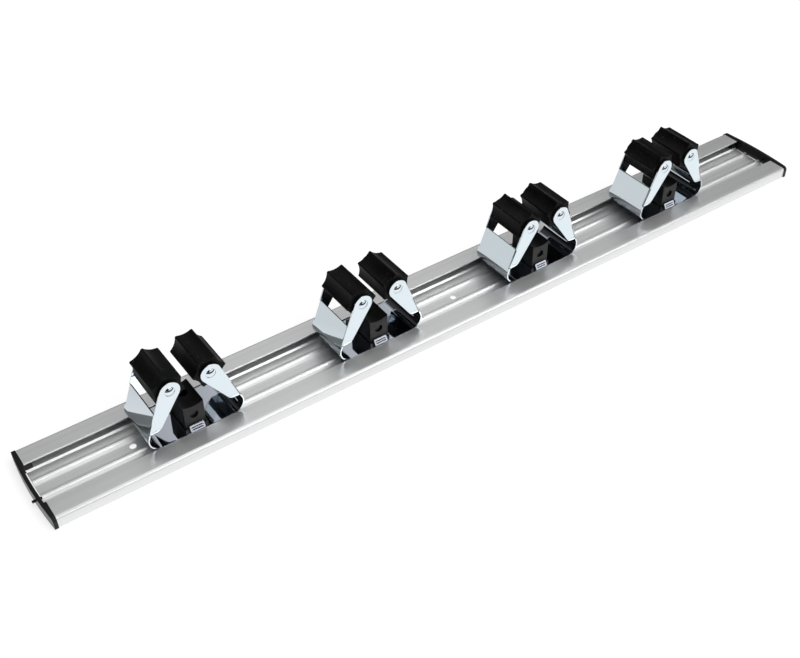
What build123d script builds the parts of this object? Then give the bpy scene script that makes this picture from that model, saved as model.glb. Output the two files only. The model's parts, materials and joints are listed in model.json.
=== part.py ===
from build123d import *
from math import asin, atan2, cos, degrees, hypot, radians, sin, sqrt, tan
import os

# Wall rail with four sliding spring-clip tool holders, each gripping a handle between two lobed rollers.
# The rail lies on its back: X runs along it, Y across it (up when it hangs on a wall), and Z points out of
# the wall. The origin is the centre of the rail's flat back. All sizes are in millimetres.

# Rail extrusion
rail_length = 1000.0
rail_width = 106.0
rail_height = 13.0
rail_wall = 2.0
rail_edge_radius = 4.0
rail_floor = 1.6
rail_opening = 58.0
lip_thickness = 2.0
lip_edge_radius = 0.6
ledge_rise = 1.9
ridge_offset = 11.2
ridge_rise = 3.4
ridge_crest = 1.2
ridge_foot = 6.0
wall_screw_pitch = 400.0
wall_screw_count = 3
wall_screw_hole_radius = 3.5

# End caps
cap_side_thickness = 4.0
cap_bow = 3.0
cap_overhang = 0.8
cap_peg_length = 8.0
cap_peg_clearance = 0.1
cap_stub_radius = 1.5
cap_stub_length = 3.0
cap_stub_offset = -15.0
cap_stub_height = 6.0

# Where the holders stand along the rail, and the turn at which each holder's two rollers came to rest
holder_positions = (-339.5, -118.0, 108.5, 317.5)
roller_turns = ((55.0, 27.0), (26.0, 59.0), (10.0, 48.0), (40.0, 52.0))

# Spring clip: a strip bent into a base and two arms whose edges are folded inwards as cheeks
sheet = 1.5
clip_side_clearance = 1.0
clip_half_width = 53.0
bend_radius = 14.0
flex_gap = 0.4
pin_rise = 67.0
cheek_radius = 11.0
cheek_start = 5.0
cheek_taper = 13.5
cheek_foot_radius = 7.0
fold_radius = 1.4
roller_window = 8.0
relief_width = 4.0
relief_depth = 3.0
tongue_width = 16.0
tongue_length = 7.5
tongue_lean = 30.0
tongue_slot_height = 1.0
tongue_slot_pitch = 2.4
tongue_slot_margin = 2.0

# Rollers, their sleeves and the riveted axles
roller_tip_radius = 18.0
roller_root_radius = 14.2
roller_flute_radius = 20.0
roller_lobes = 6
roller_tip_rounding = 0.9
roller_end_chamfer = 0.4
roller_throat = 8.0
roller_end_gap = 2.0
roller_bond_gap = 0.05
sleeve_radius = 6.0
sleeve_end_play = 0.3
axle_radius = 3.0
axle_running_clearance = 0.06
axle_seat_clearance = 0.05
axle_head_radius = 5.5
axle_head_height = 2.0
axle_tail_radius = 4.6
axle_tail_height = 1.6

# Saddle block, slider foot and the screw that clamps them to the clip's base
block_width = 23.5
block_length = 37.0
block_height = 32.0
block_edge_radius = 1.0
block_recess_radius = 4.5
block_recess_depth = 2.5
block_recess_height = 18.0
block_plinth_height = 3.0
block_plinth_width = 26.0
tongue_clearance = 0.15
saddle_radius = 25.0
screw_radius = 3.0
screw_clearance = 0.1
screw_head_radius = 5.0
screw_head_height = 4.0
screw_head_clearance = 0.3
screw_seat_height = 8.0
screw_socket_width = 5.0
screw_socket_depth = 2.5
screw_tip_cover = 0.6
foot_length = 40.0
foot_edge_radius = 2.0
foot_side_clearance = 1.0
foot_ridge_clearance = 0.3
foot_lip_clearance = 0.5

# Heights that follow from the rail
lip_underside = rail_height - lip_thickness
channel_half_width = rail_width / 2 - rail_wall
ledge_top = rail_floor + ledge_rise
ridge_top = rail_floor + ridge_rise
foot_bottom = ridge_top + foot_ridge_clearance
clip_bottom = lip_underside - foot_lip_clearance
clip_top = clip_bottom + sheet

# Clip layout in a side plane: first number outwards from the holder's middle, second number up
clip_depth = rail_opening - 2 * clip_side_clearance
cheek_inside = clip_depth / 2 - sheet
bend_centre = (clip_half_width - bend_radius, clip_bottom + bend_radius)
pin_centre = (roller_tip_radius + roller_throat / 2, clip_bottom + pin_rise)
pin_run = bend_centre[0] - pin_centre[0]
pin_climb = pin_centre[1] - bend_centre[1]
pin_distance = hypot(pin_run, pin_climb)
arm_lean = degrees(atan2(pin_run, pin_climb) + asin((bend_radius - cheek_radius) / pin_distance))
arm_length = sqrt(pin_distance**2 - (bend_radius - cheek_radius) ** 2)
web_length = arm_length - sqrt((roller_tip_radius + roller_window) ** 2 - (cheek_radius - sheet) ** 2)
flex_angle = degrees(flex_gap / 2 / (bend_radius - sheet / 2))
web_direction = Vector(-sin(radians(arm_lean)), cos(radians(arm_lean)))
web_normal = Vector(cos(radians(arm_lean)), sin(radians(arm_lean)))
web_start = Vector(*bend_centre) + web_normal * bend_radius
tongue_reach = tongue_length * sin(radians(tongue_lean)) + sheet * cos(radians(tongue_lean))
tongue_heel = sheet / cos(radians(tongue_lean)) + block_plinth_height * tan(radians(tongue_lean))
block_front = tongue_reach + tongue_clearance - clip_depth / 2
plinth_front = tongue_heel + tongue_clearance - clip_depth / 2


def side_plane(holder_x, side):
    """Upright plane through a holder's middle with its first direction pointing outwards to one side."""
    return Plane(origin=(holder_x, 0, 0), x_dir=(side, 0, 0), z_dir=(0, -side, 0))


def axle_plane(holder_x, side):
    """Upright plane square to one roller's axle, centred on it, with its first direction along X."""
    return Plane(
        origin=(holder_x + side * pin_centre[0], 0, pin_centre[1]), x_dir=(1, 0, 0), z_dir=(0, -1, 0)
    )


def finish(part, name):
    """Label a finished piece and write it to its own file."""
    part.label = name
    export_step(part, f"parts/{name}.step")


def make_rail():
    """C-shaped extrusion with two lips, two screw-guard ridges and raised ledges under the lips."""
    with BuildPart() as rail:
        with BuildSketch(Plane.YZ):
            with BuildLine():
                back = Line((0, 0), (rail_width / 2, 0))
                flank = Line(back @ 1, (rail_width / 2, rail_height - rail_edge_radius))
                shoulder = TangentArc(
                    flank @ 1, (rail_width / 2 - rail_edge_radius, rail_height), tangent=(0, 1)
                )
                lip_top = Line(shoulder @ 1, (rail_opening / 2 + lip_edge_radius, rail_height))
                lip_round = TangentArc(
                    lip_top @ 1, (rail_opening / 2, rail_height - lip_edge_radius), tangent=(-1, 0)
                )
                lip_end = Line(lip_round @ 1, (rail_opening / 2, lip_underside))
                lip_under = Line(lip_end @ 1, (channel_half_width, lip_underside))
                wall_inside = Line(lip_under @ 1, (channel_half_width, ledge_top))
                ledge = Line(wall_inside @ 1, (rail_opening / 2, ledge_top))
                ledge_slope = Line(ledge @ 1, (rail_opening / 2 - ledge_rise, rail_floor))
                outer_floor = Line(ledge_slope @ 1, (ridge_offset + ridge_foot, rail_floor))
                outer_side = TangentArc(
                    outer_floor @ 1, (ridge_offset + ridge_crest / 2, ridge_top), tangent=(-1, 0)
                )
                crest = Line(outer_side @ 1, (ridge_offset - ridge_crest / 2, ridge_top))
                inner_side = TangentArc(
                    (ridge_offset - ridge_foot, rail_floor), crest @ 1, tangent=(1, 0)
                )
                Line(inner_side @ 0, (0, rail_floor))
                mirror(about=Plane.YZ)
            make_face()
        extrude(amount=rail_length / 2, both=True)
        with GridLocations(wall_screw_pitch, 0, wall_screw_count, 1):
            Hole(wall_screw_hole_radius)
    return rail.part


def make_end_cap(side):
    """Bowed cap over one end of the rail, hollowed between the lips, with a peg under each lip and a stub."""
    end_plane = Plane(origin=(side * rail_length / 2, 0, 0), x_dir=(0, side, 0), z_dir=(side, 0, 0))
    half_width = rail_width / 2 + cap_overhang
    height = rail_height + cap_overhang
    thickness = cap_side_thickness + cap_bow
    bow_radius = (half_width**2 + cap_bow**2) / (2 * cap_bow)
    bow_centre = (side * (rail_length / 2 + thickness - bow_radius), 0)
    peg_width = channel_half_width - cap_peg_clearance - rail_opening / 2
    peg_height = lip_underside - ledge_top - 2 * cap_peg_clearance
    with BuildPart() as cap:
        with BuildSketch(end_plane) as cover:
            Rectangle(2 * half_width, height, align=(Align.CENTER, Align.MIN))
            fillet(cover.vertices().group_by(Axis.Y)[-1], rail_edge_radius + cap_overhang)
        extrude(amount=thickness)
        with BuildSketch():
            with Locations(bow_centre):
                Circle(bow_radius)
        extrude(amount=height, mode=Mode.INTERSECT)
        with BuildSketch():
            with Locations(bow_centre):
                Circle(bow_radius - cap_side_thickness)
            with Locations((side * rail_length / 2, 0)):
                Rectangle(4 * cap_bow, rail_opening, mode=Mode.INTERSECT)
        extrude(amount=height, mode=Mode.SUBTRACT)
        with BuildSketch(end_plane):
            with Locations((0, (lip_underside + ledge_top) / 2)):
                with GridLocations(rail_opening + peg_width, 0, 2, 1):
                    Rectangle(peg_width, peg_height)
        extrude(amount=-cap_peg_length)
        with BuildSketch(end_plane):
            with Locations((side * cap_stub_offset, cap_stub_height)):
                Circle(cap_stub_radius)
        extrude(amount=thickness + cap_stub_length)
    return cap.part


def make_clip_base(holder_x):
    """Flat middle of the spring strip with the lower half of both bends and a slotted tongue in front."""
    tongue_normal = (0, -cos(radians(tongue_lean)), sin(radians(tongue_lean)))
    tongue_plane = Plane(origin=(holder_x, -clip_depth / 2, clip_top), x_dir=(1, 0, 0), z_dir=tongue_normal)
    with BuildPart() as base:
        with BuildSketch(side_plane(holder_x, 1)):
            with BuildLine():
                Line((0, clip_bottom), (bend_centre[0], clip_bottom))
                outer = CenterArc(bend_centre, bend_radius, -90, 90 - flex_angle)
                inner = CenterArc(bend_centre, bend_radius - sheet, -90, 90 - flex_angle)
                Line(outer @ 1, inner @ 1)
                Line(inner @ 0, (0, clip_top))
                mirror(about=Plane.YZ)
            make_face()
        extrude(amount=clip_depth / 2, both=True)
        with BuildSketch(tongue_plane):
            Rectangle(tongue_width, tongue_length, align=(Align.CENTER, Align.MIN))
            with Locations((0, tongue_length / 2)):
                with GridLocations(0, tongue_slot_pitch, 1, 2):
                    Rectangle(tongue_width - 2 * tongue_slot_margin, tongue_slot_height, mode=Mode.SUBTRACT)
        extrude(amount=-sheet)
        with Locations((holder_x, 0, clip_top)):
            Hole(screw_radius + screw_clearance)
    return base.part


def make_arm(holder_x, side):
    """One arm of the spring strip: upper half of a bend, leaning web, and a folded cheek in front and behind."""
    plane = side_plane(holder_x, side)
    web_plane = Plane(
        origin=(holder_x + side * web_start.X, 0, web_start.Y),
        x_dir=(0, side, 0),
        z_dir=(side * web_direction.X, 0, web_direction.Y),
    )
    heel = web_start + web_direction * cheek_start
    with BuildPart() as arm:
        with BuildSketch(plane):
            with BuildLine():
                bend_outer = CenterArc(bend_centre, bend_radius, flex_angle, arm_lean - flex_angle)
                bend_inner = CenterArc(bend_centre, bend_radius - sheet, flex_angle, arm_lean - flex_angle)
                web_outer = PolarLine(bend_outer @ 1, web_length, 90 + arm_lean)
                web_inner = PolarLine(bend_inner @ 1, web_length, 90 + arm_lean)
                Line(web_outer @ 1, web_inner @ 1)
                Line(bend_outer @ 0, bend_inner @ 0)
            make_face()
        with BuildSketch(plane) as cheek:
            with BuildLine():
                crown = CenterArc(pin_centre, cheek_radius, arm_lean, 180 + cheek_taper)
                drop = (crown @ 1).Y - heel.Y
                toe = (crown @ 1) + Vector(drop * tan(radians(arm_lean + cheek_taper)), -drop)
                Polyline(crown @ 0, heel, toe, crown @ 1)
            make_face()
            fillet(cheek.vertices().sort_by_distance(toe)[0], cheek_foot_radius)
        extrude(amount=clip_depth / 2, both=True)
        with BuildSketch(web_plane):
            with Locations((0, sheet)):
                Rectangle(2 * cheek_inside, 2 * clip_half_width, align=(Align.CENTER, Align.MIN))
        extrude(amount=arm_length + cheek_radius, mode=Mode.SUBTRACT)
        with BuildSketch(web_plane.offset(web_length)):
            Rectangle(2 * cheek_inside, 2 * sheet)
        extrude(amount=arm_length, mode=Mode.SUBTRACT)
        with BuildSketch(web_plane.offset(web_length)):
            with GridLocations(2 * cheek_inside - relief_width, 0, 2, 1):
                Rectangle(relief_width, 3 * sheet)
        extrude(amount=-relief_depth, mode=Mode.SUBTRACT)
        with BuildSketch(web_plane) as folds:
            Rectangle(clip_depth, 2 * clip_half_width, align=(Align.CENTER, Align.MIN))
            fillet(folds.vertices().group_by(Axis.Y)[0], fold_radius)
        extrude(amount=arm_length + cheek_radius, both=True, mode=Mode.INTERSECT)
        with BuildSketch(plane):
            with Locations(pin_centre):
                Circle(axle_radius + axle_seat_clearance)
        extrude(amount=clip_depth / 2, both=True, mode=Mode.SUBTRACT)
    return arm.part


def make_axle(holder_x, side):
    """Rivet through both cheeks, with a domed head in front and a smaller domed tail behind."""
    plane = axle_plane(holder_x, side)
    profile_plane = Plane(plane.origin, x_dir=(0, 1, 0), z_dir=(1, 0, 0))
    with BuildPart() as axle:
        with BuildSketch(profile_plane):
            with BuildLine():
                face = clip_depth / 2
                head = TangentArc((-face - axle_head_height, 0), (-face, axle_head_radius), tangent=(0, 1))
                tail = TangentArc((face + axle_tail_height, 0), (face, axle_tail_radius), tangent=(0, 1))
                Polyline(head @ 1, (-face, axle_radius), (face, axle_radius), tail @ 1)
                Line(tail @ 0, head @ 0)
            make_face()
        revolve(axis=Axis(plane.origin, (0, 1, 0)))
    return axle.part


def make_sleeve(holder_x, side):
    """Plain tube that carries a roller and turns on its axle."""
    with BuildPart() as sleeve:
        with BuildSketch(axle_plane(holder_x, side)):
            Circle(sleeve_radius)
            Circle(axle_radius + axle_running_clearance, mode=Mode.SUBTRACT)
        extrude(amount=cheek_inside - sleeve_end_play, both=True)
    return sleeve.part


def make_roller(holder_x, side, turn):
    """Lobed rubber roller: a tip circle with round flutes cut out between the lobes."""
    flute_angle = 90 - turn + 180 / roller_lobes
    with BuildPart() as roller:
        with BuildSketch(axle_plane(holder_x, side)) as section:
            Circle(roller_tip_radius)
            with PolarLocations(roller_root_radius + roller_flute_radius, roller_lobes, flute_angle):
                Circle(roller_flute_radius, mode=Mode.SUBTRACT)
            fillet(section.vertices(), roller_tip_rounding)
            Circle(sleeve_radius + roller_bond_gap, mode=Mode.SUBTRACT)
        extrude(amount=cheek_inside - roller_end_gap, both=True)
        end_faces = roller.faces().filter_by(Axis.Y)
        chamfer(end_faces.edges(), roller_end_chamfer)
    return roller.part


def make_saddle_block(holder_x):
    """Pillar with a hollowed top for the handle, a round recess in front, and a low plinth."""
    front_plane = Plane(origin=(holder_x, block_front, clip_top), x_dir=(1, 0, 0), z_dir=(0, -1, 0))
    saddle_rise = sqrt(saddle_radius**2 - (block_width / 2) ** 2)
    saddle_bottom = clip_top + block_height + saddle_rise - saddle_radius
    seat = clip_top + screw_seat_height
    with BuildPart() as block:
        with BuildSketch(front_plane):
            Rectangle(block_width, block_height, align=(Align.CENTER, Align.MIN))
        extrude(amount=-block_length)
        fillet(block.edges().filter_by(Axis.Z), block_edge_radius)
        with BuildSketch(front_plane):
            with Locations((0, block_height + saddle_rise)):
                Circle(saddle_radius)
        extrude(amount=-block_length, mode=Mode.SUBTRACT)
        with BuildSketch(front_plane):
            with Locations((0, block_recess_height)):
                Circle(block_recess_radius)
        extrude(amount=-block_recess_depth, mode=Mode.SUBTRACT)
        with BuildSketch(Plane((holder_x, 0, clip_top))):
            RectangleRounded(block_plinth_width, -2 * plinth_front, block_edge_radius)
        extrude(amount=block_plinth_height)
        with Locations((holder_x, 0, saddle_bottom)):
            CounterBoreHole(
                screw_radius + screw_clearance, screw_head_radius + screw_head_clearance, saddle_bottom - seat
            )
    return block.part


def make_slider_foot(holder_x):
    """Runner that fills the channel under the lips and carries the screw's thread."""
    with BuildPart() as foot:
        with BuildSketch(Plane((holder_x, 0, foot_bottom))):
            RectangleRounded(foot_length, 2 * (channel_half_width - foot_side_clearance), foot_edge_radius)
        extrude(amount=clip_bottom - foot_bottom)
        with Locations((holder_x, 0, clip_bottom)):
            Hole(screw_radius + screw_clearance)
    return foot.part


def make_clamp_screw(holder_x):
    """Socket-head screw that holds the block, the clip's base and the foot together."""
    seat = clip_top + screw_seat_height
    tip = foot_bottom + screw_tip_cover
    with BuildPart() as screw:
        with BuildSketch(Plane((holder_x, 0, tip))):
            Circle(screw_radius)
        extrude(amount=seat - tip)
        with BuildSketch(Plane((holder_x, 0, seat))):
            Circle(screw_head_radius)
        extrude(amount=screw_head_height)
        with BuildSketch(Plane((holder_x, 0, seat + screw_head_height))):
            RegularPolygon(screw_socket_width / 2, 6, major_radius=False)
        extrude(amount=-screw_socket_depth, mode=Mode.SUBTRACT)
    return screw.part


os.makedirs("parts", exist_ok=True)
finish(make_rail(), "rail")
for side, side_name in ((-1, "left"), (1, "right")):
    finish(make_end_cap(side), f"{side_name}_end_cap")
for number, (holder_x, turns) in enumerate(zip(holder_positions, roller_turns), start=1):
    finish(make_clip_base(holder_x), f"clip_base_{number}")
    finish(make_saddle_block(holder_x), f"saddle_block_{number}")
    finish(make_slider_foot(holder_x), f"slider_foot_{number}")
    finish(make_clamp_screw(holder_x), f"clamp_screw_{number}")
    for (side, side_name), turn in zip(((-1, "left"), (1, "right")), turns):
        finish(make_arm(holder_x, side), f"{side_name}_arm_{number}")
        finish(make_axle(holder_x, side), f"{side_name}_axle_{number}")
        finish(make_sleeve(holder_x, side), f"{side_name}_sleeve_{number}")
        finish(make_roller(holder_x, side, turn), f"{side_name}_roller_{number}")
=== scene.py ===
"""Dresses the wall tool holder: an aluminium rail with four spring clips that grip handles by rollers."""

import json
import logging
from dataclasses import dataclass
from enum import Enum
from math import asin, atan2, cos, hypot, pi, radians, sin, sqrt, tan
from typing import Callable, ClassVar, Iterable, Sequence, Union

import bmesh
import bpy
from bmesh.types import BMEdge, BMFace, BMVert
from mathutils import Matrix, Vector


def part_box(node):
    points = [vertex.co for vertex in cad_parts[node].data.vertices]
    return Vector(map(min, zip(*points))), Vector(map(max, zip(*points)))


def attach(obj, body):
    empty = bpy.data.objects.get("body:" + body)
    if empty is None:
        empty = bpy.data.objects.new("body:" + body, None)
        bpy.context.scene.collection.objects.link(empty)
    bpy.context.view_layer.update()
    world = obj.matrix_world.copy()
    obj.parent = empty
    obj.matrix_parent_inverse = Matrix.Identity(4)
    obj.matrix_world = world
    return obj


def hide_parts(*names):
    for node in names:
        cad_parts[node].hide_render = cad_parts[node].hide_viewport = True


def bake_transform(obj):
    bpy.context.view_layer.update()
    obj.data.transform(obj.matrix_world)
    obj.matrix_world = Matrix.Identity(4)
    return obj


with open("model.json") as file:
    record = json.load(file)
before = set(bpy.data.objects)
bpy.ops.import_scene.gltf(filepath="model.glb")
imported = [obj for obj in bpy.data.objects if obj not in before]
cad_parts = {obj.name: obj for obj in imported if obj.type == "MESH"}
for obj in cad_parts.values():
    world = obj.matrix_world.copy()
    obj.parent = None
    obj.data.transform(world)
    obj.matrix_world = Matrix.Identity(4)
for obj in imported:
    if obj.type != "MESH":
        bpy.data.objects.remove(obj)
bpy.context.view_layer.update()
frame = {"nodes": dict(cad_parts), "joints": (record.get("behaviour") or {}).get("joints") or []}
log = logging.getLogger("wall_tool_holder")

Feed = Union["Wire", float, Sequence[float]]
Colour = Triple = tuple[float, float, float]
WELD = 1e-6  # metres within which two vertices are one
FLAT = radians(0.5)  # turn below which neighbouring facets are one face
ACROSS = Vector((0.0, 1.0, 0.0))  # from the rail's front to its rear
BLACK = (0.0, 0.0, 0.0)
WHITE = (1.0, 1.0, 1.0)
ROLLER_TURNS = ((55.0, 27.0), (26.0, 59.0), (10.0, 48.0), (40.0, 52.0))  # left and right, in degrees


class Side(Enum):
    """The two arms of a clip, with the direction along the rail that each one faces."""

    LEFT = -1
    RIGHT = 1

    @property
    def word(self) -> str:
        """The side's word in the names of bodies and nodes."""
        return self.name.lower()


class Wire:
    """An output socket that takes part in arithmetic by adding Math nodes to its bench."""

    def __init__(self, bench: "NodeBench", socket: bpy.types.NodeSocket) -> None:
        """Keep the bench that the socket belongs to."""
        self.bench = bench
        self.socket = socket

    def maths(self, operation: str, first: Feed, second: Feed) -> "Wire":
        """Add one Math node.

        Args:
            operation: The Math node's operation.
            first: The first operand.
            second: The second operand.

        Returns:
            The node's result.
        """
        return self.bench.node("ShaderNodeMath", {"operation": operation}, {0: first, 1: second})

    def __add__(self, other: Feed) -> "Wire":
        """Sum of this value and another."""
        return self.maths("ADD", self, other)

    def __radd__(self, other: Feed) -> "Wire":
        """Sum with a number on the left."""
        return self.maths("ADD", other, self)

    def __sub__(self, other: Feed) -> "Wire":
        """Difference of this value and another."""
        return self.maths("SUBTRACT", self, other)

    def __rsub__(self, other: Feed) -> "Wire":
        """Difference with a number on the left."""
        return self.maths("SUBTRACT", other, self)

    def __mul__(self, other: Feed) -> "Wire":
        """Product of this value and another."""
        return self.maths("MULTIPLY", self, other)

    def __rmul__(self, other: Feed) -> "Wire":
        """Product with a number on the left."""
        return self.maths("MULTIPLY", other, self)


class NodeBench:
    """A shader node tree under construction."""

    def __init__(self, tree: bpy.types.NodeTree) -> None:
        """Start from an empty tree."""
        tree.nodes.clear()
        self.tree = tree

    def node(
        self, kind: str, settings: dict | None = None, sockets: dict | None = None, output: int | str = 0
    ) -> Wire:
        """Make one node.

        Args:
            kind: The node's type name.
            settings: Properties of the node, set first.
            sockets: Values or wires for the input sockets, by name or number.
            output: The output socket to hand back, by name or number.

        Returns:
            The chosen output, or the first input of a node that has no output.
        """
        made = self.tree.nodes.new(kind)
        for key, value in (settings or {}).items():
            setattr(made, key, value)
        for key, value in (sockets or {}).items():
            if isinstance(value, Wire):
                self.tree.links.new(value.socket, made.inputs[key])
            else:
                made.inputs[key].default_value = value
        return Wire(self, made.outputs[output]) if made.outputs else Wire(self, made.inputs[0])

    def point(self) -> Wire:
        """Object coordinates: the place on the piece, in metres."""
        return self.node("ShaderNodeTexCoord", output="Object")

    def axis(self, vector: Wire, letter: str) -> Wire:
        """One coordinate of a vector."""
        return self.node("ShaderNodeSeparateXYZ", {}, {"Vector": vector}, output=letter)

    def place(self, scale: Sequence[float]) -> Wire:
        """Object coordinates stretched by a scale for each axis."""
        return self.node("ShaderNodeMapping", {}, {"Vector": self.point(), "Scale": scale})

    def noise(self, scale: Sequence[float], detail: float = 3.0, roughness: float = 0.5) -> Wire:
        """Fractal noise on object coordinates.

        Args:
            scale: Waves in a metre along X, Y and Z.
            detail: Octaves of the noise.
            roughness: How much each finer octave counts.

        Returns:
            The noise value, about 0.5 on average.
        """
        sockets = {"Vector": self.place(scale), "Scale": 1.0, "Detail": detail, "Roughness": roughness}
        return self.node("ShaderNodeTexNoise", {}, sockets)

    def mix(self, factor: Feed, first: Feed, second: Feed) -> Wire:
        """Mix two colours.

        Args:
            factor: Share of the second colour.
            first: The colour at factor 0.
            second: The colour at factor 1.

        Returns:
            The mixed colour.
        """
        ends = [end if isinstance(end, Wire) else (*end, 1.0) for end in (first, second)]
        sockets = {0: factor, 6: ends[0], 7: ends[1]}
        return self.node("ShaderNodeMix", {"data_type": "RGBA"}, sockets, output=2)

    def bump(self, height: Wire, strength: float, distance: float) -> Wire:
        """A normal tilted by a height.

        Args:
            height: The height, about 0 to 1.
            strength: How much of the tilt shows.
            distance: What a height of 1 stands for, in metres.

        Returns:
            The tilted normal.
        """
        sockets = {"Height": height, "Strength": strength, "Distance": distance}
        return self.node("ShaderNodeBump", {}, sockets)

    def surface(self, **sockets: Feed) -> None:
        """Feed a Principled shader and join it to the tree's output.

        Args:
            sockets: Values or wires for the shader, with _ for the blanks in a socket's name.
        """
        named = {key.replace("_", " "): value for key, value in sockets.items()}
        shader = self.node("ShaderNodeBsdfPrincipled", {}, named)
        self.node("ShaderNodeOutputMaterial", {}, {"Surface": shader})


@dataclass(frozen=True)
class Ramp:
    """An even change between two levels: start up to a low value, end from a high value on."""

    low: float
    high: float
    start: float = 0.0
    end: float = 1.0

    def of(self, value: Wire) -> Wire:
        """Read the level off for a value.

        Args:
            value: The value along the ramp.

        Returns:
            The level.
        """
        span = {"From Min": self.low, "From Max": self.high}
        levels = {"To Min": self.start, "To Max": self.end}
        return value.bench.node("ShaderNodeMapRange", {"clamp": True}, {"Value": value, **span, **levels})


class Finish:
    """A material that is made once and shared by every piece that has it."""

    made: ClassVar[dict[str, bpy.types.Material]] = {}
    title: str

    def paint(self, bench: NodeBench) -> None:
        """Lay the finish out as nodes on a bench."""
        raise NotImplementedError

    def material(self) -> bpy.types.Material:
        """The finish as a material, made on first use.

        Returns:
            The shared material.
        """
        if self.title not in Finish.made:
            material = bpy.data.materials.new(self.title)
            material.use_nodes = True
            self.paint(NodeBench(material.node_tree))
            Finish.made[self.title] = material
        return Finish.made[self.title]


@dataclass(frozen=True)
class SatinAluminium(Finish):
    """Drawn and anodised aluminium: die lines along the rail over a faintly clouded satin grey."""

    title: str = "satin_aluminium"
    colour: Colour = (0.82, 0.825, 0.825)
    bright: Colour = (0.93, 0.935, 0.935)
    metallic: float = 0.82
    roughness: float = 0.36
    die_lines: Triple = (0.8, 900.0, 900.0)
    wide_lines: Triple = (0.4, 160.0, 160.0)
    wide_share: float = 0.4
    clouds: Triple = (9.0, 30.0, 30.0)
    brightening: Ramp = Ramp(0.3, 0.7)
    streak_dulling: float = 0.12
    cloud_dulling: float = 0.08
    line_tilt: float = 0.03
    line_height: float = 0.0003

    def paint(self, bench: NodeBench) -> None:
        """Let streaks move the colour, the gloss and the normal together.

        Args:
            bench: The material's nodes.
        """
        fine = bench.noise(self.die_lines, detail=4.0)
        wide = bench.noise(self.wide_lines, detail=2.0)
        cloud = bench.noise(self.clouds, detail=3.0)
        streak = (1 - self.wide_share) * fine + self.wide_share * wide
        dulling = self.streak_dulling * (streak - 0.5) + self.cloud_dulling * (cloud - 0.5)
        bench.surface(
            Base_Color=bench.mix(self.brightening.of(streak), self.colour, self.bright),
            Metallic=self.metallic,
            Roughness=self.roughness + dulling,
            Normal=bench.bump(streak, self.line_tilt, self.line_height),
        )


@dataclass(frozen=True)
class BrightZinc(Finish):
    """Bright zinc plating with a cool tint, rolling lines and a clouded gloss, with painted shade that makes
    it darker and bluer near the wall.
    """

    title: str = "bright_zinc"
    colour: Colour = (0.755, 0.86, 0.90)
    tint: Colour = (0.79, 0.85, 0.905)
    low_tint: Colour = (0.62, 0.66, 0.745)
    roughness: float = 0.045
    unevenness: float = 0.03
    rolling: Triple = (8.0, 700.0, 8.0)
    clouds: Triple = (40.0, 40.0, 40.0)
    tinting: Ramp = Ramp(0.35, 0.65)
    near_wall: Ramp = Ramp(0.016, 0.022, 1.0, 0.0)
    line_tilt: float = 0.012
    line_height: float = 0.0002

    def paint(self, bench: NodeBench) -> None:
        """Let clouds shift the tint and the gloss, rolling lines roughen it, and paint shade low down as a
        darker, bluer tint.

        Args:
            bench: The material's nodes.
        """
        line = bench.noise(self.rolling, detail=3.0)
        cloud = bench.noise(self.clouds, detail=4.0, roughness=0.6)
        # painted shade: below about 16 to 22 mm in height the colour turns to the darker, bluer shaded tint
        low = self.near_wall.of(bench.axis(bench.point(), "Z"))
        high_tint = bench.mix(self.tinting.of(cloud), self.colour, self.tint)
        bench.surface(
            Base_Color=bench.mix(low, high_tint, self.low_tint),
            Metallic=1.0,
            Roughness=self.roughness + self.unevenness * (line - 0.5) + self.unevenness * (cloud - 0.5),
            Normal=bench.bump(line + cloud, self.line_tilt, self.line_height),
        )


@dataclass(frozen=True)
class RollerRubber(Finish):
    """Black moulded rubber with a fine skin, a dull bloom and a few pale specks of dust."""

    title: str = "roller_rubber"
    colour: Colour = (0.003, 0.003, 0.003)
    bloom: Colour = (0.006, 0.006, 0.006)
    dust: Colour = (0.05, 0.05, 0.05)
    gloss: float = 0.12
    roughness: float = 0.5
    skin: Triple = (1600.0, 1600.0, 1600.0)
    patches: Triple = (90.0, 45.0, 90.0)
    specks: Triple = (420.0, 420.0, 420.0)
    blooming: Ramp = Ramp(0.35, 0.7)
    dusting: Ramp = Ramp(0.70, 0.76, 0.0, 0.6)
    patch_dulling: float = 0.15
    skin_dulling: float = 0.1
    skin_tilt: float = 0.25
    skin_height: float = 0.0002

    def paint(self, bench: NodeBench) -> None:
        """Lay bloom in soft patches and dust in small points.

        Args:
            bench: The material's nodes.
        """
        skin = bench.noise(self.skin, detail=2.0)
        patch = bench.noise(self.patches, detail=4.0)
        speck = self.dusting.of(bench.noise(self.specks, detail=1.0))
        body = bench.mix(self.blooming.of(patch), self.colour, self.bloom)
        dulling = self.patch_dulling * (patch - 0.5) + self.skin_dulling * (skin - 0.5)
        bench.surface(
            Base_Color=bench.mix(speck, body, self.dust),
            Roughness=self.roughness + dulling,
            Normal=bench.bump(skin, self.skin_tilt, self.skin_height),
            Specular_IOR_Level=self.gloss,
        )


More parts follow.
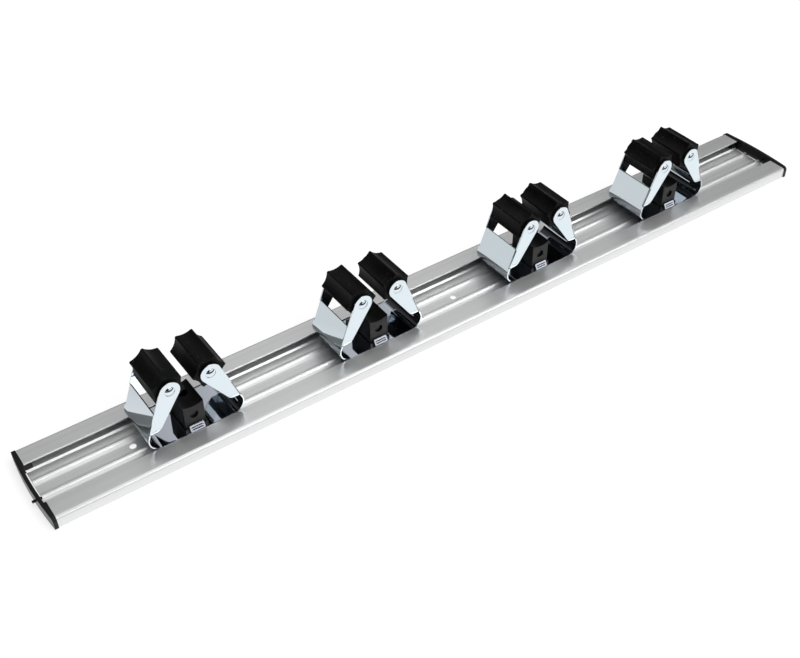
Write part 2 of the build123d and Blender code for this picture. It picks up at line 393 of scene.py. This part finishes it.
@dataclass(frozen=True)
class MouldedPlastic(Finish):
    """Black injection-moulded plastic with a fine spark-eroded grain."""

    title: str = "moulded_plastic"
    colour: Colour = (0.004, 0.004, 0.004)
    rubbed: Colour = (0.008, 0.008, 0.008)
    gloss: float = 0.38
    roughness: float = 0.38
    grain: Triple = (2200.0, 2200.0, 2200.0)
    clouds: Triple = (60.0, 60.0, 60.0)
    rubbing: Ramp = Ramp(0.4, 0.7)
    unevenness: float = 0.12
    grain_tilt: float = 0.2
    grain_height: float = 0.0001

    def paint(self, bench: NodeBench) -> None:
        """Let grain break the gloss up and clouds carry the rubbed colour.

        Args:
            bench: The material's nodes.
        """
        grain = bench.noise(self.grain, detail=2.0)
        cloud = bench.noise(self.clouds, detail=4.0)
        bench.surface(
            Base_Color=bench.mix(self.rubbing.of(cloud), self.colour, self.rubbed),
            Roughness=self.roughness + self.unevenness * (cloud - 0.5) + self.unevenness * (grain - 0.5),
            Normal=bench.bump(grain, self.grain_tilt, self.grain_height),
            Specular_IOR_Level=self.gloss,
        )


class Workpiece:
    """A mesh under construction, with the few operations that this object's pieces need."""

    def __init__(self) -> None:
        """Start with an empty mesh."""
        self.mesh = bmesh.new()

    @classmethod
    def from_node(cls, node: str) -> "Workpiece":
        """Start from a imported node's mesh, welded, with its flat faces made whole.

        Args:
            node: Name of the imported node.

        Returns:
            The workpiece.
        """
        work = cls()
        work.mesh.from_mesh(frame["nodes"][node].data)
        work.weld()
        verts, edges = work.mesh.verts[:], work.mesh.edges[:]
        bmesh.ops.dissolve_limit(work.mesh, angle_limit=FLAT, verts=verts, edges=edges)
        return work

    def weld(self) -> None:
        """Merge vertices that lie on the same spot."""
        bmesh.ops.remove_doubles(self.mesh, verts=self.mesh.verts[:], dist=WELD)

    def chain(self, points: Iterable[Vector]) -> list[BMEdge]:
        """Join points by edges.

        Args:
            points: The points in order.

        Returns:
            The edges in order.
        """
        verts = [self.mesh.verts.new(point) for point in points]
        return [self.mesh.edges.new(pair) for pair in zip(verts, verts[1:])]

    def pull(self, edges: Sequence[BMEdge], offset: Vector) -> list[BMEdge]:
        """Extrude edges into a band of faces.

        Args:
            edges: The edges to extrude.
            offset: How far and which way.

        Returns:
            The edges at the far side of the band.
        """
        made = bmesh.ops.extrude_edge_only(self.mesh, edges=edges)["geom"]
        verts = {item for item in made if isinstance(item, BMVert)}
        bmesh.ops.translate(self.mesh, verts=list(verts), vec=offset)
        return [item for item in made if isinstance(item, BMEdge) and verts.issuperset(item.verts)]

    def draw(self, vert: BMVert, target: Vector) -> BMVert:
        """Draw a line from a vertex.

        Args:
            vert: Where the line starts.
            target: Where it ends.

        Returns:
            The vertex at its end.
        """
        made = bmesh.ops.extrude_vert_indiv(self.mesh, verts=[vert])["verts"]
        made[0].co = target
        return made[0]

    def turn(self, geometry: Sequence, centre: Vector, axis: Vector, angle: float, steps: int) -> list:
        """Sweep vertices or edges around an axis.

        Args:
            geometry: What is swept, with the vertices of its edges.
            centre: A point on the axis.
            axis: The axis.
            angle: The sweep in radians.
            steps: Steps of the sweep.

        Returns:
            The geometry at the end of the sweep.
        """
        return bmesh.ops.spin(
            self.mesh, geom=geometry, cent=centre, axis=axis, angle=angle, steps=steps, use_duplicate=False
        )["geom_last"]

    def arc(self, vert: BMVert, centre: Vector, axis: Vector, angle: float, steps: int) -> BMVert:
        """Draw an arc from a vertex.

        Args:
            vert: Where the arc starts.
            centre: A point on its axis.
            axis: The axis.
            angle: The sweep in radians.
            steps: Steps of the sweep.

        Returns:
            The vertex at its end.
        """
        swept = self.turn([vert], centre, axis, angle, steps)
        return next(item for item in swept if isinstance(item, BMVert))

    def drop_faces(self, unwanted: Callable[[BMFace], bool]) -> None:
        """Delete the faces that a test picks out."""
        faces = [face for face in self.mesh.faces if unwanted(face)]
        bmesh.ops.delete(self.mesh, geom=faces, context="FACES")

    def face_outwards(self) -> None:
        """Make the faces of a closed mesh point outwards."""
        bmesh.ops.recalc_face_normals(self.mesh, faces=self.mesh.faces[:])

    def thicken(self, outwards: Vector, witness: Vector, thickness: float) -> None:
        """Give a sheet its thickness on its inner side.

        Args:
            outwards: The way the sheet's outer side faces near the witness.
            witness: A point on the sheet.
            thickness: Thickness of the sheet.
        """
        self.face_outwards()
        nearest = min(self.mesh.faces, key=lambda face: (face.calc_center_median() - witness).length)
        if nearest.normal.dot(outwards) < 0:
            bmesh.ops.reverse_faces(self.mesh, faces=self.mesh.faces[:])
        bmesh.ops.solidify(self.mesh, geom=self.mesh.faces[:], thickness=thickness)

    def soften(
        self,
        width: float,
        segments: int = 2,
        sharpest: float = 40.0,
        seam: float | None = None,
        along: Vector | None = None,
    ) -> None:
        """Round the sharp edges.

        Args:
            width: Width of the rounding.
            segments: Faces across the rounding.
            sharpest: Edges that turn by more than this many degrees are rounded.
            seam: Place along the rail where edges meet another piece and stay sharp.
            along: Only edges in this direction are rounded.
        """

        def rounded(edge: BMEdge) -> bool:
            """Whether an edge is one to round.

            Args:
                edge: The edge.

            Returns:
                True for a sharp edge that lies the right way and is not at the seam.
            """
            start, end = (vert.co for vert in edge.verts)
            at_seam = seam is not None and max(abs(start.x - seam), abs(end.x - seam)) < WELD
            astray = along is not None and (end - start).cross(along).length > WELD
            return edge.calc_face_angle(0.0) > radians(sharpest) and not at_seam and not astray

        edges = [edge for edge in self.mesh.edges if rounded(edge)]
        bmesh.ops.bevel(
            self.mesh,
            geom=edges,
            offset=width,
            offset_type="OFFSET",
            segments=segments,
            profile=0.5,
            affect="EDGES",
            clamp_overlap=True,
            material=-1,
        )

    def finish(self, name: str, finish: Finish, slot: str) -> bpy.types.Object:
        """Turn the workpiece into an object.

        Args:
            name: Name of the piece.
            finish: Its finish.
            slot: The record's material slot for that finish; not used.

        Returns:
            The object, at the origin.
        """
        data = bpy.data.meshes.new(name)
        self.mesh.to_mesh(data)
        self.mesh.free()
        data.shade_smooth()
        data.materials.append(finish.material())
        piece = bpy.data.objects.new(name, data)
        bpy.context.scene.collection.objects.link(piece)
        shading = piece.modifiers.new("even_shading", "WEIGHTED_NORMAL")
        shading.keep_sharp = True
        log.info("%s: %d faces", name, len(data.polygons))
        return piece


@dataclass
class Moulding:
    """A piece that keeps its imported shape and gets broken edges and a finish."""

    node: str
    body: str
    name: str
    finish: Finish
    slot: str
    edge_break: float

    def build(self) -> bpy.types.Object:
        """Make the piece and put it in its node's place.

        Returns:
            The piece.
        """
        work = Workpiece.from_node(self.node)
        work.soften(self.edge_break)
        piece = work.finish(self.name, self.finish, self.slot)
        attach(piece, self.body)
        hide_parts(self.node)
        return piece


@dataclass
class SpringArm:
    """Half of a clip's spring strip: half the base, a round bend, a leaning web and two folded cheeks."""

    number: int
    side: Side
    hinge: Vector
    pin: Vector
    sheet: float = 0.0015
    bend_radius: float = 0.014
    bend_steps: int = 28
    fold_radius: float = 0.0022
    fold_steps: int = 8
    fold_slit: float = 0.0005
    cheek_radius: float = 0.011
    cheek_start: float = 0.005
    cheek_taper: float = radians(13.5)
    crown_steps: int = 36
    toe_radius: float = 0.007
    toe_steps: int = 10
    roller_radius: float = 0.018
    roller_window: float = 0.0101
    relief_width: float = 0.0012
    relief_depth: float = 0.0008
    edge_break: float = 0.0002

    def __post_init__(self) -> None:
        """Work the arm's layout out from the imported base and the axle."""
        low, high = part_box(f"clip_base_{self.number}")
        self.middle = (low.x + high.x) / 2
        self.bottom = low.z
        self.half_depth = (high.y - low.y) / 2
        self.half_width = (high.x - low.x) / 2
        self.bend_centre = Vector((self.half_width - self.bend_radius, 0, self.bottom + self.bend_radius))
        self.crown_centre = Vector((abs(self.pin.x - self.middle), 0, self.pin.z))
        reach = self.crown_centre - self.bend_centre
        step_in = self.bend_radius - self.cheek_radius
        distance = hypot(reach.x, reach.z)
        self.lean = atan2(-reach.x, reach.z) + asin(step_in / distance)
        self.arm_length = sqrt(distance**2 - step_in**2)
        window = sqrt((self.roller_radius + self.roller_window) ** 2 - (self.cheek_radius - self.sheet) ** 2)
        self.sill = self.arm_length - window
        self.along = Vector((-sin(self.lean), 0, cos(self.lean)))
        self.outwards = Vector((cos(self.lean), 0, sin(self.lean)))
        self.web_start = self.bend_centre + self.outwards * self.bend_radius

    def spot(self, along: float, inwards: float, across: float) -> Vector:
        """A point of the arm.

        Args:
            along: Distance up the web from the end of the bend.
            inwards: Distance behind the web's outer side.
            across: Place across the rail.

        Returns:
            The point, with the clip's middle at X 0.
        """
        return self.web_start + self.along * along - self.outwards * inwards + ACROSS * across

    def sweep_strip(self, work: Workpiece) -> None:
        """Sweep the outer side of the strip from the clip's middle, round the bend and up the web.

        Args:
            work: The empty workpiece.
        """
        relief_side = self.half_depth - self.sheet - self.relief_width
        columns = [relief_side, self.half_depth - self.fold_radius, self.half_depth]
        columns = [-column for column in reversed(columns)] + columns
        edges = work.chain(Vector((0, column, self.bottom)) for column in columns)
        edges = work.pull(edges, Vector((self.bend_centre.x, 0, 0)))
        ends = list({vert for edge in edges for vert in edge.verts})
        swept = work.turn(ends + edges, self.bend_centre, -ACROSS, pi / 2 + self.lean, self.bend_steps)
        edges = [item for item in swept if isinstance(item, BMEdge)]
        folded = self.sill - self.relief_depth - self.cheek_start
        for length in (self.cheek_start - self.fold_slit, self.fold_slit, folded, self.relief_depth):
            edges = work.pull(edges, self.along * length)
        fold_side = self.half_depth - self.fold_radius

        def cut_away(face: BMFace) -> bool:
            """Whether a face lies beside the folds or in a relief notch.

            Args:
                face: The face.

            Returns:
                True for a face that the blank does not have.
            """
            centre = face.calc_center_median()
            height = (centre - self.web_start).dot(self.along)
            beside = height > self.cheek_start - self.fold_slit and abs(centre.y) > fold_side
            notch = height > self.sill - self.relief_depth and abs(centre.y) > relief_side
            return centre.z > self.web_start.z and (beside or notch)

        work.drop_faces(cut_away)

    def fold_cheek(self, work: Workpiece, facing: int) -> None:
        """Fold one cheek off the web.

        Args:
            work: The workpiece with the strip in it.
            facing: -1 for the front cheek, 1 for the back one.
        """
        fold_line = facing * (self.half_depth - self.fold_radius)
        face_line = facing * self.half_depth
        fold_top = self.sill - self.relief_depth
        foot, top = self.spot(self.cheek_start, 0, fold_line), self.spot(fold_top, 0, fold_line)
        ends = [min(work.mesh.verts, key=lambda vert: (vert.co - point).length) for point in (foot, top)]
        edge = work.mesh.edges.get(ends)
        axis_point = self.spot(0, self.fold_radius, fold_line)
        swept = work.turn(ends + [edge], axis_point, facing * self.along, pi / 2, self.fold_steps)
        rim = next(item for item in swept if isinstance(item, BMEdge))
        foot_vert, vert = sorted(rim.verts, key=lambda end: end.co.z)
        vert = work.draw(vert, self.spot(fold_top, 0, face_line))
        vert = work.draw(vert, self.spot(self.arm_length, 0, face_line))
        centre = self.crown_centre + ACROSS * face_line
        crown_end = work.arc(vert, centre, -ACROSS, pi + self.cheek_taper, self.crown_steps)
        drop = crown_end.co.z - self.spot(self.cheek_start, 0, 0).z
        slant = self.lean + self.cheek_taper
        toe = crown_end.co + Vector((drop * tan(slant), 0, -drop))
        up, back = (crown_end.co - toe).normalized(), (foot_vert.co - toe).normalized()
        corner = up.angle(back)
        vert = work.draw(crown_end, toe + up * self.toe_radius / tan(corner / 2))
        toe_centre = toe + (up + back).normalized() * self.toe_radius / sin(corner / 2)
        toe_end = work.arc(vert, toe_centre, -ACROSS, pi - corner, self.toe_steps)
        work.mesh.edges.new((toe_end, foot_vert))
        outline = [edge for edge in work.mesh.edges if edge.is_wire]
        bmesh.ops.edgeloop_fill(work.mesh, edges=outline + [rim])

    def build(self, finish: Finish) -> bpy.types.Object:
        """Make the half strip: half the base, the bend, the web and the two cheeks.

        Args:
            finish: The plating.

        Returns:
            The piece.
        """
        work = Workpiece()
        self.sweep_strip(work)
        for facing in (-1, 1):
            self.fold_cheek(work, facing)
        work.weld()
        bmesh.ops.scale(work.mesh, vec=(self.side.value, 1, 1), verts=work.mesh.verts[:])
        bmesh.ops.translate(work.mesh, vec=(self.middle, 0, 0), verts=work.mesh.verts[:])
        work.thicken(Vector((0, 0, -1)), Vector((self.middle, 0, self.bottom)), self.sheet)
        work.soften(self.edge_break, seam=self.middle)
        word = self.side.word
        piece = work.finish(f"{word}_spring_strip_{self.number}", finish, "zinc_steel")
        start = Vector((self.hinge.x, 0, self.bottom + 2 * self.sheet))
        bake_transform(piece)
        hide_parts(f"clip_base_{self.number}", f"{word}_arm_{self.number}")
        return piece


@dataclass
class Tongue:
    """Slotted tongue folded up from the front of a clip's base, leaning back against the block's foot."""

    number: int
    width: float = 0.016
    length: float = 0.0075
    lean: float = radians(30.0)
    sheet: float = 0.0015
    slot_height: float = 0.001
    slot_pitch: float = 0.0024
    slot_margin: float = 0.002
    edge_break: float = 0.0002

    def build(self, finish: Finish) -> bpy.types.Object:
        """Make the tongue.

        Args:
            finish: The plating.

        Returns:
            The piece.
        """
        low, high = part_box(f"clip_base_{self.number}")
        foot = Vector(((low.x + high.x) / 2, low.y, low.z + self.sheet))
        rise = Vector((0, sin(self.lean), cos(self.lean)))
        front = Vector((0, -cos(self.lean), sin(self.lean)))
        slot_half = self.width / 2 - self.slot_margin
        columns = (-self.width / 2, -slot_half, slot_half, self.width / 2)
        first_slot = (self.length - self.slot_pitch - self.slot_height) / 2
        bridge = self.slot_pitch - self.slot_height
        work = Workpiece()
        edges = work.chain(foot + Vector((column, 0, 0)) for column in columns)
        for length in (first_slot, self.slot_height, bridge, self.slot_height, first_slot):
            edges = work.pull(edges, rise * length)

        def in_slot(face: BMFace) -> bool:
            """Whether a face lies in one of the two slots.

            Args:
                face: The face.

            Returns:
                True for a face that is punched out.
            """
            centre = face.calc_center_median()
            height = (centre - foot).dot(rise) - self.length / 2
            beside = abs(abs(height) - self.slot_pitch / 2) < self.slot_height / 2
            return beside and abs(centre.x - foot.x) < slot_half

        work.drop_faces(in_slot)
        work.thicken(front, foot, self.sheet)
        work.soften(self.edge_break)
        piece = work.finish(f"clip_tongue_{self.number}", finish, "zinc_steel")
        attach(piece, f"holder_{self.number}")
        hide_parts(f"clip_base_{self.number}")
        return piece


@dataclass
class Rivet:
    """Axle of a roller: a rivet with a domed head in front and a smaller domed tail behind."""

    number: int
    side: Side
    pin: Vector
    shank_radius: float = 0.003
    head_radius: float = 0.0055
    head_rim: float = 0.0002
    tail_radius: float = 0.0046
    tail_rim: float = 0.0002
    dome_steps: int = 10
    round_steps: int = 48
    edge_break: float = 0.0001

    def dome(self, work: Workpiece, tip: float, rim: float, radius: float) -> BMVert:
        """Draw the profile of one domed end.

        Args:
            work: The workpiece.
            tip: Place of the dome's tip across the rail.
            rim: Place of the dome's rim across the rail.
            radius: Radius of the rim.

        Returns:
            The vertex at the rim.
        """
        height = abs(rim - tip)
        ball = (radius**2 + height**2) / (2 * height)
        facing = 1 if rim > tip else -1
        centre = Vector((self.pin.x, tip + facing * ball, self.pin.z))
        start = work.mesh.verts.new((self.pin.x, tip, self.pin.z))
        axis = Vector((0, 0, facing))
        return work.arc(start, centre, axis, asin(radius / ball), self.dome_steps)

    def build(self, finish: Finish) -> bpy.types.Object:
        """Make the rivet.

        Args:
            finish: The plating.

        Returns:
            The piece.
        """
        word = self.side.word
        low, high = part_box(f"{word}_axle_{self.number}")
        cheek_low, cheek_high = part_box(f"{word}_arm_{self.number}")
        work = Workpiece()
        head = self.dome(work, low.y, cheek_low.y - self.head_rim, self.head_radius)
        tail = self.dome(work, high.y, cheek_high.y + self.tail_rim, self.tail_radius)
        corners = [
            (self.head_radius, cheek_low.y),
            (self.shank_radius, cheek_low.y),
            (self.shank_radius, cheek_high.y),
            (self.tail_radius, cheek_high.y),
        ]
        for radius, across in corners:
            head = work.draw(head, Vector((self.pin.x + radius, across, self.pin.z)))
        work.mesh.edges.new((head, tail))
        profile = work.mesh.verts[:] + work.mesh.edges[:]
        bmesh.ops.spin(
            work.mesh,
            geom=profile,
            cent=self.pin,
            axis=ACROSS,
            angle=2 * pi,
            steps=self.round_steps,
            use_merge=True,
            use_duplicate=False,
        )
        work.weld()
        work.face_outwards()
        work.soften(self.edge_break)
        piece = work.finish(f"{word}_rivet_{self.number}", finish, "axle_steel")
        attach(piece, f"{word}_arm_{self.number}")
        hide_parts(f"{word}_axle_{self.number}")
        return piece


@dataclass
class LobedRoller:
    """Rubber roller with round flutes between its lobes and a bore for its sleeve."""

    number: int
    side: Side
    pin: Vector
    turn: float
    tip_radius: float = 0.018
    root_radius: float = 0.0142
    flute_radius: float = 0.020
    lobes: int = 6
    flute_steps: int = 14
    bore_radius: float = 0.00605
    bore_steps: int = 48
    tip_rounding: float = 0.00045
    end_rounding: float = 0.0005

    def build(self, finish: Finish) -> bpy.types.Object:
        """Make the roller.

        Args:
            finish: The rubber.

        Returns:
            The piece.
        """
        word = self.side.word
        low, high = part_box(f"{word}_roller_{self.number}")
        reach = self.root_radius + self.flute_radius
        spread = (self.tip_radius**2 + reach**2 - self.flute_radius**2) / (2 * self.tip_radius * reach)
        land = pi / self.lobes - atan2(sqrt(1 - spread**2), spread)
        sideways, depth = self.tip_radius * sqrt(1 - spread**2), reach - self.tip_radius * spread
        sweep = 2 * atan2(sideways, depth)
        axle = Vector((self.pin.x, low.y, self.pin.z))
        work = Workpiece()
        lobe_end = work.mesh.verts.new(axle + self.polar(self.tip_radius, land))
        centre = axle + self.polar(reach, pi / self.lobes)
        flute_end = work.arc(lobe_end, centre, ACROSS, -sweep, self.flute_steps)
        work.draw(flute_end, axle + self.polar(self.tip_radius, 2 * pi / self.lobes + land))
        bmesh.ops.spin(
            work.mesh,
            geom=work.mesh.verts[:] + work.mesh.edges[:],
            cent=axle,
            axis=ACROSS,
            angle=2 * pi * (self.lobes - 1) / self.lobes,
            steps=self.lobes - 1,
            use_duplicate=True,
        )
        work.weld()
        upright = Matrix.Translation(axle) @ Matrix.Rotation(pi / 2, 4, "X")
        bmesh.ops.create_circle(work.mesh, segments=self.bore_steps, radius=self.bore_radius, matrix=upright)
        bmesh.ops.bridge_loops(work.mesh, edges=work.mesh.edges[:])
        made = bmesh.ops.extrude_face_region(work.mesh, geom=work.mesh.faces[:])["geom"]
        far = [item for item in made if isinstance(item, BMVert)]
        bmesh.ops.translate(work.mesh, verts=far, vec=(0, high.y - low.y, 0))
        work.face_outwards()
        work.soften(self.tip_rounding, segments=4, sharpest=30.0, along=ACROSS)
        work.soften(self.end_rounding, sharpest=60.0)
        resting = Matrix.Rotation(self.turn, 3, "Y")
        bmesh.ops.rotate(work.mesh, verts=work.mesh.verts[:], cent=axle, matrix=resting)
        piece = work.finish(f"{word}_lobed_roller_{self.number}", finish, "roller_rubber")
        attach(piece, f"{word}_roller_{self.number}")
        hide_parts(f"{word}_roller_{self.number}")
        return piece

    @staticmethod
    def polar(radius: float, angle: float) -> Vector:
        """A step away from the axle.

        Args:
            radius: Length of the step.
            angle: Its turn from straight up towards +X.

        Returns:
            The step.
        """
        return Vector((radius * sin(angle), 0, radius * cos(angle)))


@dataclass
class Holder:
    """One sliding holder: spring clip, rollers on rivets, saddle block and the hidden fixings."""

    number: int
    roller_turns: tuple[float, float]
    zinc: Finish
    polished: Finish
    rubber: Finish
    plastic: Finish
    block_edge_break: float = 0.0004

    def joint(self, name: str) -> Vector:
        """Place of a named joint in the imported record."""
        return Vector(next(joint["pos_m"] for joint in frame["joints"] if joint["name"] == name))

    def build(self) -> None:
        """Make every piece of the holder."""
        Tongue(self.number).build(self.zinc)
        Moulding(
            node=f"saddle_block_{self.number}",
            body=f"holder_{self.number}",
            name=f"saddle_moulding_{self.number}",
            finish=self.plastic,
            slot="block_plastic",
            edge_break=self.block_edge_break,
        ).build()
        for side, turn in zip(Side, self.roller_turns):
            hinge = self.joint(f"{side.word}_arm_{self.number}_flex")
            pin = self.joint(f"{side.word}_roller_{self.number}_spin")
            SpringArm(self.number, side, hinge, pin).build(self.zinc)
            Rivet(self.number, side, pin).build(self.polished)
            LobedRoller(self.number, side, pin, radians(turn)).build(self.rubber)
            self.dress(f"{side.word}_sleeve_{self.number}", self.plastic)
        self.dress(f"slider_foot_{self.number}", self.plastic)
        self.dress(f"clamp_screw_{self.number}", self.zinc)

    @staticmethod
    def dress(node: str, finish: Finish) -> None:
        """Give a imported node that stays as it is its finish."""
        frame["nodes"][node].data.materials[0] = finish.material()


@dataclass
class Rail:
    """The extruded rail and the moulded caps that close its ends."""

    aluminium: Finish
    plastic: Finish
    rail_edge_break: float = 0.00025
    cap_edge_break: float = 0.0005

    def build(self) -> None:
        """Make the rail and its two caps."""
        Moulding(
            node="rail",
            body="rail",
            name="rail_extrusion",
            finish=self.aluminium,
            slot="rail_aluminium",
            edge_break=self.rail_edge_break,
        ).build()
        for side in Side:
            Moulding(
                node=f"{side.word}_end_cap",
                body="rail",
                name=f"{side.word}_end_cap_moulding",
                finish=self.plastic,
                slot="cap_plastic",
                edge_break=self.cap_edge_break,
            ).build()


@dataclass(frozen=True)
class Room:
    """The studio around the table as metal mirrors it, painted by direction: along, across and height."""

    ceiling_height: Ramp = Ramp(0.30, 0.70, 0.02, 0.67)
    ceiling_left: Ramp = Ramp(-0.1, 0.3, 0.08, 1.0)
    ceiling_right: Ramp = Ramp(0.53, 0.70, 1.0, 0.25)
    overhead_height: Ramp = Ramp(0.80, 0.94)
    overhead_left: Ramp = Ramp(0.0, 0.3, 0.2, 1.0)
    overhead_right: Ramp = Ramp(0.58, 0.68, 1.0, 0.0)
    overhead_level: float = 1.35
    strip_height: Ramp = Ramp(0.23, 0.26, 1.0, 0.0)
    strip_left: Ramp = Ramp(-0.05, 0.1)
    strip_rear: Ramp = Ramp(-0.7, -0.55, 1.0, 0.0)
    backdrop_height: Ramp = Ramp(0.03, 0.05, 1.0, 0.0)
    backdrop_front: Ramp = Ramp(0.1, 0.3, 0.0, 0.72)
    side_height: Ramp = Ramp(0.30, 0.40, 0.35, 0.0)
    side_front: Ramp = Ramp(-0.8, -0.7)
    side_rear: Ramp = Ramp(-0.15, -0.05, 1.0, 0.0)
    box_bottom: Ramp = Ramp(0.46, 0.50)
    box_top: Ramp = Ramp(0.64, 0.69, 1.0, 0.0)
    box_left: Ramp = Ramp(-0.1, 0.25)
    box_right: Ramp = Ramp(0.56, 0.67, 1.0, 0.0)
    box_rear: Ramp = Ramp(-0.35, -0.2, 1.0, 0.0)
    box_level: float = 5.0

    def paint(self) -> None:
        """Paint a pale ceiling, dim walls, a backdrop behind, and a bright strip and a soft box in front."""
        world = bpy.data.worlds.new("studio_room")
        world.use_nodes = True
        bpy.context.scene.world = world
        bench = NodeBench(world.node_tree)
        direction = bench.node("ShaderNodeTexCoord", output="Generated")
        along, across, height = (bench.axis(direction, letter) for letter in "XYZ")
        ceiling = self.ceiling_height.of(height) * self.ceiling_left.of(along) * self.ceiling_right.of(along)
        sides = self.side_front.of(across) * self.side_rear.of(across) * self.side_height.of(height)
        overhead = self.overhead_left.of(along) * self.overhead_right.of(along)
        overhead = overhead * self.overhead_height.of(height)
        backdrop = self.backdrop_front.of(across) * self.backdrop_height.of(height)
        strip = self.strip_rear.of(across) * self.strip_left.of(along) * self.strip_height.of(height)
        box_rise = self.box_bottom.of(height) * self.box_top.of(height)
        box_run = self.box_left.of(along) * self.box_right.of(along)
        soft_box = box_rise * box_run * self.box_rear.of(across)
        room = bench.mix(ceiling + sides, BLACK, WHITE)
        room = bench.mix(overhead, room, [self.overhead_level] * 3)
        room = bench.mix(backdrop, room, WHITE)
        room = bench.mix(strip, room, WHITE)
        room = bench.mix(soft_box, room, [self.box_level] * 3)
        seen = bench.node("ShaderNodeLightPath", output="Is Camera Ray")
        colour = bench.mix(seen, room, WHITE)
        sky = bench.node("ShaderNodeBackground", {}, {"Color": colour, "Strength": 1.0})
        bench.node("ShaderNodeOutputWorld", {}, {"Surface": sky})


@dataclass
class Studio:
    """White table, soft light and a camera at the photograph's angle."""

    focal_length: float = 51.171
    sensor_width: float = 36.0
    camera_place: Triple = (-0.62361, -0.79109, 0.83436)
    heading: float = radians(55.239)
    dip: float = radians(41.215)
    roll: float = radians(-0.555)
    sight: float = 100.0
    floor_gap: float = 0.0004
    floor_size: float = 20.0
    paper: float = 0.85
    glow_share: Ramp = Ramp(0.8, 1.8, 0.6, 1.0)
    glow_level: float = 1.22
    mirrored_behind: Ramp = Ramp(-0.05, 0.12, 1.0, 0.72)
    mirrored_ahead: Ramp = Ramp(-0.25, -0.19, 0.03, 1.0)
    mirrored_far: Ramp = Ramp(-2.7, -2.5, 1.0, 0.0)
    lamp_place: Triple = (0.0, -0.3, 2.2)
    lamp_size: float = 3.0
    lamp_power: float = 40.0

    def set_camera(self) -> None:
        """Stand the camera where the photograph was taken from."""
        data = bpy.data.cameras.new("camera")
        data.lens = self.focal_length
        data.sensor_width = self.sensor_width
        data.clip_end = self.sight
        camera = bpy.data.objects.new("camera", data)
        bpy.context.scene.collection.objects.link(camera)
        turn = Matrix.Rotation(self.heading - pi / 2, 4, "Z") @ Matrix.Rotation(pi / 2 - self.dip, 4, "X")
        roll = Matrix.Rotation(self.roll, 4, "Z")
        camera.matrix_world = Matrix.Translation(self.camera_place) @ turn @ roll
        bpy.context.scene.camera = camera

    def lay_floor(self) -> None:
        """Lay a white table that keeps the object's shadow and is dimmer where only mirrors see it."""
        work = bmesh.new()
        lift = Matrix.Translation((0, 0, -self.floor_gap))
        bmesh.ops.create_grid(work, x_segments=1, y_segments=1, size=self.floor_size / 2, matrix=lift)
        data = bpy.data.meshes.new("floor")
        work.to_mesh(data)
        work.free()
        material = bpy.data.materials.new("white_table")
        material.use_nodes = True
        bench = NodeBench(material.node_tree)
        seen = bench.node("ShaderNodeLightPath", output="Is Camera Ray")
        mirrored = bench.node("ShaderNodeLightPath", output="Is Glossy Ray")
        point = bench.point()
        across = bench.axis(point, "Y")
        distance = bench.node("ShaderNodeVectorMath", {"operation": "LENGTH"}, {0: point}, output="Value")
        ahead = self.mirrored_ahead.of(across) + self.mirrored_far.of(across)
        paper = bench.node("ShaderNodeBsdfDiffuse", {}, {"Color": (*[self.paper] * 3, 1.0)})
        glow = bench.node("ShaderNodeEmission", {}, {"Color": (*WHITE, 1.0), "Strength": self.glow_level})
        share = self.glow_share.of(distance) * seen
        table = bench.node("ShaderNodeMixShader", {}, {0: share, 1: paper, 2: glow})
        level = bench.mix(self.mirrored_behind.of(across) * ahead, BLACK, WHITE)
        mirror_glow = bench.node("ShaderNodeEmission", {}, {"Color": level, "Strength": 1.0})
        shader = bench.node("ShaderNodeMixShader", {}, {0: mirrored, 1: table, 2: mirror_glow})
        bench.node("ShaderNodeOutputMaterial", {}, {"Surface": shader})
        data.materials.append(material)
        floor = bpy.data.objects.new("floor", data)
        bpy.context.scene.collection.objects.link(floor)

    def hang_lamp(self) -> None:
        """Hang a wide soft lamp over the table."""
        data = bpy.data.lights.new("overhead", "AREA")
        data.shape = "SQUARE"
        data.size = self.lamp_size
        data.energy = self.lamp_power
        lamp = bpy.data.objects.new("overhead", data)
        lamp.visible_glossy = False
        bpy.context.scene.collection.objects.link(lamp)
        aim = Vector(self.lamp_place).to_track_quat("Z", "Y").to_matrix().to_4x4()
        lamp.matrix_world = Matrix.Translation(self.lamp_place) @ aim

    def build(self) -> None:
        """Set up the whole studio."""
        self.set_camera()
        self.lay_floor()
        self.hang_lamp()
        Room().paint()
        bpy.context.scene.view_settings.view_transform = "Standard"


def main() -> None:
    """Build and dress the pieces in order."""
    logging.basicConfig(level=logging.INFO, format="%(name)s: %(message)s")
    zinc, rubber, plastic = BrightZinc(), RollerRubber(), MouldedPlastic()
    polished = BrightZinc("polished_zinc", roughness=0.03, unevenness=0.01)
    jet = MouldedPlastic("jet_plastic", rubbed=(0.007,) * 3, gloss=0.3, roughness=0.32)
    Rail(SatinAluminium(), jet).build()
    for number, turns in enumerate(ROLLER_TURNS, start=1):
        Holder(number, turns, zinc, polished, rubber, plastic).build()
    Studio().build()


if __name__ == "__main__":
    main()
